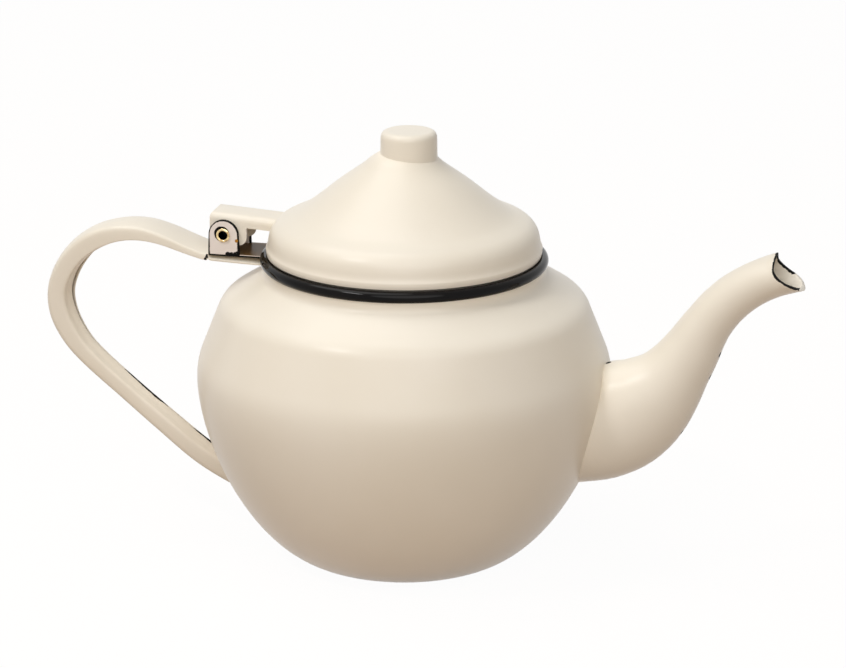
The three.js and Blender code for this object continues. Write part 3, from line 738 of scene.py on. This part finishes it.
def strapStations():
    startLevel = strap["start"][1] - strap["deep"] * mm * strap["rows"][0][3] / 2
    rows = [(strap["start"][0] - out * strap["reach"], startLevel - down * strap["drop"], *section)
            for out, down, *section in strap["rows"]]
    low = (-bowlRadius(strap["heel"]) - strap["heelOff"], strap["heel"])
    last = rows[-1]
    for share in (1 / 3, 2 / 3, 1):
        sag = strap["runSag"] * math.sin(math.pi * share)
        size = [a + (b - a) * share for a, b in zip(strap["run"], strap["foot"])]
        rows.append((last[0] + (low[0] - last[0]) * share, last[1] + (low[1] - last[1]) * share - sag, *size))
    rows.append((strap["sink"] - bowlRadius(strap["footLevel"]), strap["footLevel"], *strap["foot"]))
    spots = runThrough([(x / mm, z / mm) for x, z, *section in rows], strap["between"])
    full = (strap["wide"], strap["deep"], strap["curl"])
    sizes = runThrough([[share * size for share, size in zip(section, full)] for x, z, *section in rows],
                       strap["between"])
    made = []
    for index, (x, z) in enumerate(spots):
        before, after = spots[max(index - 1, 0)], spots[min(index + 1, len(spots) - 1)]
        turn = math.atan2(after[1] - before[1], after[0] - before[0]) % math.tau
        wide, deep, curl = sizes[index]
        made.append((Vector((x, 0, z)) * mm, turn, wide, deep, strap["hem"] + max(curl, 0)))
    return made


# Points from the lip round to the crown: across and outward, in mm. A long lip rises to its end.
# Each corner runs through four points, given as shares of its size.
def strapHalf(wide, deep, lip):
    curled = (lip - strap["hem"]) / strap["curl"]
    side, roof = wide / 2, deep / 2 - strap["crown"]
    ease = min(strap["ease"], roof)
    foot = curled * strap["lipCrown"] - deep / 2
    hem = min(lip / 2, ease)
    corner = ((1, 0), (0.4, 0.1), (0.08, 0.42), (0, 1))
    lower = [(side - hem * inward, foot + hem * up) for inward, up in corner]
    upper = [(side - ease * inward, roof - ease * down) for inward, down in corner[::-1]]
    crown = [(side * 0.4, deep / 2 - strap["crown"] * 0.15), (0, deep / 2)]
    return [(side - lip, -deep / 2 - curled * strap["lipRise"]), *lower, *upper, *crown]


def strapRing(at, turn, wide, deep, lip):
    half = strapHalf(wide, deep, lip)
    whole = [(-across, out) for across, out in half] + half[-2::-1]
    return [(at.x + out * mm * math.sin(turn), across * mm, at.z - out * mm * math.cos(turn))
            for across, out in whole]


# Each pair of points of the new ring is drawn to the section's own width and height there
def fitPairs(piece, ring, before, after, at, turn):
    shape = bmesh.from_edit_mesh(piece.data)
    for rank, (old, new) in enumerate(zip(strapHalf(*before), strapHalf(*after))):
        stretch = (new[0] / after[0]) / (old[0] / before[0]) if old[0] else 1
        lift = (new[1] - old[1] * after[1] / before[1]) * mm
        if abs(stretch - 1) < 0.002 and abs(lift) < 0.002 * mm:
            continue
        shape.verts.ensure_lookup_table()
        bpy.ops.mesh.select_all(action="DESELECT")
        for index in {ring[rank], ring[-1 - rank]}:
            shape.verts[index].select_set(True)
        bpy.ops.transform.resize(value=(1, stretch, 1), center_override=at)
        bpy.ops.transform.translate(value=(lift * math.sin(turn), 0, -lift * math.cos(turn)))
        shape = bmesh.from_edit_mesh(piece.data)
    shape.verts.ensure_lookup_table()
    bpy.ops.mesh.select_all(action="DESELECT")
    for index in ring:
        shape.verts[index].select_set(True)
    shape.select_flush_mode()
    bmesh.update_edit_mesh(piece.data)


# The picked vertices in their order across the strap, from the near lip round to the far one
def ringOrder(piece):
    shape = bmesh.from_edit_mesh(piece.data)
    chosen = {v for v in shape.verts if v.select}
    ends = [v for v in chosen if sum(e.other_vert(v) in chosen for e in v.link_edges) == 1]
    order = [min(ends, key=lambda v: v.co.y)]
    while len(order) < len(chosen):
        order.append(next(e.other_vert(order[-1]) for e in order[-1].link_edges
                          if e.other_vert(order[-1]) in chosen and e.other_vert(order[-1]) not in order))
    return [v.index for v in order]


path = strapStations()
handle = drawLine("HandleStrap", strapRing(*path[0]))
for before, after in zip(path, path[1:]):
    extrude(tuple(after[0] - before[0]))
    bpy.ops.transform.rotate(value=after[1] - before[1], orient_axis="Y", center_override=after[0])
    deeper = after[3] / before[3]
    bpy.ops.transform.resize(value=(deeper, after[2] / before[2], deeper), center_override=after[0])
    bmesh.from_edit_mesh(handle.data).verts.index_update()
    fitPairs(handle, ringOrder(handle), before[2:], after[2:], after[0], after[1])
# The tongue goes on from the strap's top edge, steps down under the bracket and runs to the neck
startX, startZ = strap["start"]
aside, below = strap["topEdge"]
pick(handle, "EDGE", lambda e: all(abs(v.co.x - startX) < aside and v.co.z > startZ - below for v in e.verts))
last = (0, 0)
for step in strap["tongue"]:
    extrude(((step[0] - last[0]) * mm, 0, (step[1] - last[1]) * mm))
    last = step
bpy.ops.mesh.select_all(action="SELECT")
bpy.ops.mesh.normals_make_consistent(inside=False)
leave()
faceTowards(handle, (startX - strap["reach"] / 2, 0, 1), (0, 0, 1))
thicken(handle, strap["sheet"], rim=1)
apply(handle, "SUBSURF", levels=2, render_levels=2)
carve(handle, trim, keep=True)
smooth(handle, 50)
strapEnamel = firedCream("creamEnamelChippedAtStep", shine=strap["gloss"])
paintChipsAndShade(strapEnamel, fromSpots(strapEnamel, strap["chips"]), strap["chip"], ragged=strap["chipRagged"])
# Black along the seam of the lower run: chipped enamel at the lips and painted shade of the slot between them
seamEnamel = firedCream("creamEnamelChippedAndShadedAtSeam", shine=enamel["chippedGloss"])
seam = fromSeam(seamEnamel, strap["seamPatch"], strap["seamStray"])
paintChipsAndShade(seamEnamel, seam, strap["seamChipAndShade"], ragged=strap["seamRagged"])
dress(handle, ["handle_strap"], "pot", [strapEnamel[0], bareEdge, seamEnamel[0]])
# The seam faces get the chipped enamel and painted slot shade
paint(handle, 2, lambda f: abs(f.center.y) < strap["seamHalf"] and f.center.z < strap["seamTop"]
      and f.normal.z > 0.1)


# Bracket: a plate folded up into two round-topped ears

pin = {"x": -64.7, "z": 117.4, "hole": 2.3, "tube": 2.0, "bore": 1.6, "flare": 2.5, "half": 9.0, "end": 9.5,
       "steps": 48, "drillSides": 40, "drillDepth": 40}
bracket = {"half": 8.7, "sheet": 1.2 * mm, "foot": 109.2, "plateTop": 110.4, "back": -70.45, "front": -49.2,
           "fold": 1.5, "earHalf": 5.75, "earRadius": 5.5, "earTop": 125, "round": 0.18 * mm, "below": 100,
           "past": -40, "earInside": 6.5 * mm, "earFront": -58.8 * mm, "earTone": ("#F2E8E1", "#ECE1D8"),
           "paintedPlateShade": ("#46300F", "#664A20")}
# Where the ear's cream is gone, and where black is painted as shade, in mm: places, widths of what shows and
# how ragged it is
earChips = {"edge": 0.34, "edgeRagged": 0.5, "eyelet": (-0.6, 0.4, 2.75), "eyeletRagged": 0.4,
            "rust": (4.9, -8.7, -1.9), "rustWidth": 0.55, "rustRagged": 0.5, "rustTone": "#B07A2E",
            "fold": 0.5, "foldShadeRagged": 0.8, "gapShadeBlob": [(1.6, 110.3), (3, 110.2), (4.3, 110.3), (5.2, 110.7)],
            "gapShadeWidth": 0.95}
outlineHalf = 15 * mm  # half the width of the blocks that cut bracket and arm in side view


def folded(half, edgeLevel, foldLevel, radius, x):
    low = foldLevel - edgeLevel
    sign = 1 if low > 0 else -1
    side = arc(half - radius, foldLevel - sign * radius, radius, 0, 90 * sign, 4)
    run = [(half, edgeLevel), *side]
    both = run + [(-y, z) for y, z in run[::-1]]
    return [(x * mm, y * mm, z * mm) for y, z in both]


def softenEdges(piece, width):
    apply(piece, "BEVEL", width=width, segments=2, limit_method="ANGLE", angle_limit=math.radians(50),
          use_clamp_overlap=True)
    edit(piece)
    bpy.ops.mesh.dissolve_degenerate(threshold=mm / 500)
    leave()


def pinDrill():
    bpy.ops.object.select_all(action="DESELECT")
    bpy.ops.mesh.primitive_cylinder_add(vertices=pin["drillSides"], radius=pin["hole"] * mm,
                                        depth=pin["drillDepth"] * mm,
                                        location=(pin["x"] * mm, 0, pin["z"] * mm),
                                        rotation=(math.pi / 2, 0, 0))
    bpy.ops.object.transform_apply(location=True, rotation=True, scale=True)
    return bpy.context.object


hingeBracket = drawLine("HingeBracket", folded(bracket["half"], bracket["earTop"], bracket["foot"],
                                               bracket["fold"], bracket["back"]))
extrude(((bracket["front"] - bracket["back"]) * mm, 0, 0))
bpy.ops.mesh.select_all(action="SELECT")
bpy.ops.mesh.normals_make_consistent(inside=False)
leave()
faceTowards(hingeBracket, (pin["x"] * mm, 0, 0), (0, 0, -1))
thicken(hingeBracket, bracket["sheet"])
side = [(bracket["back"], bracket["below"]), (bracket["past"], bracket["below"]),
        (bracket["past"], bracket["plateTop"]), (pin["x"] + bracket["earHalf"], bracket["plateTop"])]
side += arc(pin["x"], pin["z"], bracket["earRadius"], 0, 180, 24) + [(bracket["back"], bracket["plateTop"])]
side = [(x * mm, z * mm) for x, z in side]
carve(hingeBracket, drawBlock("earOutline", upright(side, -outlineHalf), (0, 2 * outlineHalf, 0)),
      "INTERSECT")
carve(hingeBracket, pinDrill())
carve(hingeBracket, trim, keep=True)
softenEdges(hingeBracket, bracket["round"])
smooth(hingeBracket, 35)
# The ears' cream is thin and a little pink, black along the cut edge where it has chipped. The black up and
# left of the eyelet is chipped enamel and painted shade of the gap in the hole; the black along the fold
# below and the blob over the tongue are painted shade of the gap between bracket and tongue.
ear = firedCream("creamEnamelThinOnEar", *bracket["earTone"], enamel["chippedGloss"])
edge = fromRound(ear, pin["x"], pin["z"], bracket["earRadius"], straight=True)
paintChipsAndShade(ear, edge, earChips["edge"], ragged=earChips["edgeRagged"])
# Chipped enamel and painted shade of the gap in the eyelet, up and left of the hole
away, rise, reach = earChips["eyelet"]
paintChipsAndShade(ear, fromRound(ear, pin["x"] + away, pin["z"] + rise, 0), reach, ragged=earChips["eyeletRagged"])
rustX, rustY, rustZ = earChips["rust"]
rust = fromSpots(ear, [(pin["x"] + rustX, rustY, pin["z"] + rustZ)])
paintChipsAndShade(ear, rust, earChips["rustWidth"], earChips["rustRagged"], earChips["rustTone"], earChips["rustTone"])
foot = bracket["foot"] * mm
# Painted shade: black along the fold and in a blob, where the bracket stands over the tongue
paintChipsAndShade(ear, behindCut(ear, [(0, foot), (-1, foot)]), earChips["fold"], ragged=earChips["foldShadeRagged"])
gapShadeBlob = fromSpots(ear, [(pin["x"] + x, -bracket["half"], z) for x, z in earChips["gapShadeBlob"]])
paintChipsAndShade(ear, gapShadeBlob, earChips["gapShadeWidth"])
# The plate's top under the arm is painted dark brown: painted shade where the arm and lid shade it
shadedPlateTop = firedCream("creamEnamelPaintedShadeUnderArm", *bracket["paintedPlateShade"], enamel["chippedGloss"])[0]
dress(hingeBracket, ["hinge_bracket"], "pot", [creamEnamel, ear[0], plateEdge, shadedPlateTop])
plateTop, inside, earFront = bracket["plateTop"] * mm, bracket["earInside"], bracket["earFront"]
paint(hingeBracket, 1, lambda f: abs(f.center.y) > inside and f.center.x < earFront)
paint(hingeBracket, 2, lambda f: f.center.z < plateTop + 0.1 * mm and f.center.y < -inside
      and f.center.x > earFront)
# Painted shade on the plate's upward faces under the arm
paint(hingeBracket, 3, lambda f: f.normal.z > 0.9 and f.center.z < plateTop + 0.2 * mm)


# Pin: a brass tube, its ends rolled over like an eyelet

tube = [(pin["bore"], -pin["end"] + 0.25), (pin["bore"] + 0.25, -pin["end"]),
        (pin["flare"] - 0.3, -pin["end"]), (pin["flare"], -pin["end"] + 0.22),
        (pin["flare"] - 0.05, -pin["half"] - 0.03), (pin["tube"], -pin["half"])]
tube += [(r, -y) for r, y in tube[::-1]]
tube = [((pin["x"] + r) * mm, y * mm, pin["z"] * mm) for r, y in tube]
hingePin = turnRound("HingePin", tube, pin["steps"], centre=(pin["x"] * mm, 0, pin["z"] * mm), axis=(0, 1, 0),
                     closed=True)
smooth(hingePin, 50)
dress(hingePin, ["hinge_pin"], "pot", [brassTube, brassBore])
# Painted shade on the faces inside the bore
boreWall = (pin["bore"] + 0.05) * mm
paint(hingePin, 1, lambda f: math.hypot(f.center.x - pin["x"] * mm, f.center.z - pin["z"] * mm) < boreWall)


# Arm: an inverted channel from the pin to the lid

arm = {"half": 7.0, "sheet": 1.2 * mm, "rise": 7.8, "tail": 5.5, "slope": math.radians(3.8), "lead": 8.1,
       "drop": 4, "bridge": 4.3, "front": -40, "fold": 2.3, "below": 105, "over": 0.4, "past": 3,
       "tailEase": 2.4, "cheekEase": 2, "leadEase": 3.4, "round": 0.15 * mm}


def armTop(x):
    return pin["z"] + arm["rise"] - (x - pin["x"] + arm["tail"]) * math.tan(arm["slope"])


tail, lead = pin["x"] - arm["tail"], pin["x"] + arm["lead"]
start = tail - arm["past"]
hingeArm = drawLine("HingeArm", folded(arm["half"], arm["below"], armTop(start), arm["fold"], start))
length = arm["front"] - start
extrude((length * mm, 0, -length * math.tan(arm["slope"]) * mm))
bpy.ops.mesh.select_all(action="SELECT")
bpy.ops.mesh.normals_make_consistent(inside=False)
leave()
faceTowards(hingeArm, (pin["x"] * mm, 0, 1), (0, 0, 1))
thicken(hingeArm, arm["sheet"])
footLevel = pin["z"] - arm["drop"]
side = easeCorners([
    (arm["front"], armTop(arm["front"]) + arm["over"], 0),
    (tail, armTop(tail) + arm["over"], arm["tailEase"]),
    (tail, footLevel, arm["cheekEase"]),
    (lead, footLevel, arm["leadEase"]),
    (lead, armTop(lead) - arm["bridge"], 0),
    (arm["front"], armTop(arm["front"]) - arm["bridge"], 0),
])
side = [(x * mm, z * mm) for x, z in side]
carve(hingeArm, drawBlock("armOutline", upright(side, -outlineHalf), (0, 2 * outlineHalf, 0)), "INTERSECT")
carve(hingeArm, pinDrill())
carve(hingeArm, lidForm, keep=True)
softenEdges(hingeArm, arm["round"])
smooth(hingeArm, 35)
dress(hingeArm, ["hinge_arm"], "lid", [creamEnamel])

for form in (trim, lidForm):
    bpy.data.objects.remove(form)
print("pieces done")


# Floor, backdrop, lamps and camera

studio = {"floor": "#B09C88", "floorPatch": "#B7A492", "patch": 300, "floorSize": 8, "showThrough": 0.9,
          "white": 1.07, "sky": "#FFFFFF", "skyLight": 0.2, "aim": Vector((0, 0, 0.07))}


# Share of rays that see the plain white: the camera's, and those seen in gloss or through glass
def seenRays(tree):
    rays = addNode(tree, "ShaderNodeLightPath")
    both = addNode(tree, "ShaderNodeMath", {"operation": "MAXIMUM"},
                   {0: rays.outputs["Is Camera Ray"], 1: rays.outputs["Is Glossy Ray"]})
    return addNode(tree, "ShaderNodeMath", {"operation": "MAXIMUM"},
                   {0: both.outputs[0], 1: rays.outputs["Is Transmission Ray"]}).outputs[0]


bpy.ops.object.select_all(action="DESELECT")
bpy.ops.mesh.primitive_plane_add(size=studio["floorSize"])
floor = bpy.context.object
floor.name = "Floor"
floorPaint, tree, gloss, place = newMaterial("mattPaintedBoard", {"Roughness": 0.9})
clouds = addNode(tree, "ShaderNodeTexNoise", {"Scale": perMm(studio["patch"])}, {"Vector": place})
board = addNode(tree, "ShaderNodeMix", {"data_type": "RGBA", 6: colour(studio["floor"]),
                                        7: colour(studio["floorPatch"])}, {0: clouds.outputs[0]})
tree.links.new(board.outputs[2], gloss.inputs["Base Color"])
seen = addNode(tree, "ShaderNodeMath", {"operation": "MULTIPLY", 1: studio["showThrough"]},
               {0: seenRays(tree)})
white = addNode(tree, "ShaderNodeEmission", {"Color": (1, 1, 1, 1), "Strength": studio["white"]})
mixed = addNode(tree, "ShaderNodeMixShader", {},
                {0: seen.outputs[0], 1: gloss.outputs[0], 2: white.outputs[0]})
tree.links.new(mixed.outputs[0], next(n for n in tree.nodes if n.type == "OUTPUT_MATERIAL").inputs["Surface"])
floor.data.materials.append(floorPaint)

world = bpy.data.worlds.new("paleStudio")
bpy.context.scene.world = world
world.use_nodes = True
tree = world.node_tree
tree.nodes.clear()
soft = addNode(tree, "ShaderNodeBackground", {"Color": colour(studio["sky"]), "Strength": studio["skyLight"]})
plain = addNode(tree, "ShaderNodeBackground", {"Color": (1, 1, 1, 1), "Strength": 1})
mixed = addNode(tree, "ShaderNodeMixShader", {}, {0: seenRays(tree), 1: soft.outputs[0], 2: plain.outputs[0]})
addNode(tree, "ShaderNodeOutputWorld", {}, {"Surface": mixed.outputs[0]})

lamps = [  # name, place, width, height, power
    ("keyLamp", (0.45, -1.6, 1.15), 1.9, 1.9, 16.8),
    ("topLamp", (-0.5, 0.0, 1.5), 1.2, 1.2, 9),
    ("stripLamp", (-0.61, -0.75, 1.22), 0.4, 0.06, 4.8),
]
for name, spot, width, height, power in lamps:
    bpy.ops.object.light_add(type="AREA", location=spot)
    lamp = bpy.context.object
    lamp.name = name
    lamp.data.shape = "ELLIPSE"
    lamp.data.size = width
    lamp.data.size_y = height
    lamp.data.energy = power
    lamp.rotation_euler = (studio["aim"] - Vector(spot)).to_track_quat("-Z", "Y").to_euler()

camera = {"turn": math.radians(13), "rise": math.radians(18), "distance": 1.2,
          "target": Vector((0, 0, 0.065)), "sensor": 36, "lens": 140.94, "shift": (0.0222, 0.0533),
          "nearest": 0.05}
back = Vector((math.sin(camera["turn"]) * math.cos(camera["rise"]),
               -math.cos(camera["turn"]) * math.cos(camera["rise"]), math.sin(camera["rise"])))
bpy.ops.object.camera_add(location=camera["target"] + back * camera["distance"])
eye = bpy.context.object
eye.rotation_euler = (-back).to_track_quat("-Z", "Y").to_euler()
eye.data.sensor_width = camera["sensor"]
eye.data.lens = camera["lens"]
eye.data.shift_x, eye.data.shift_y = camera["shift"]
eye.data.clip_start = camera["nearest"]
bpy.context.scene.camera = eye
bpy.context.scene.view_settings.view_transform = "Standard"

print("scene done")
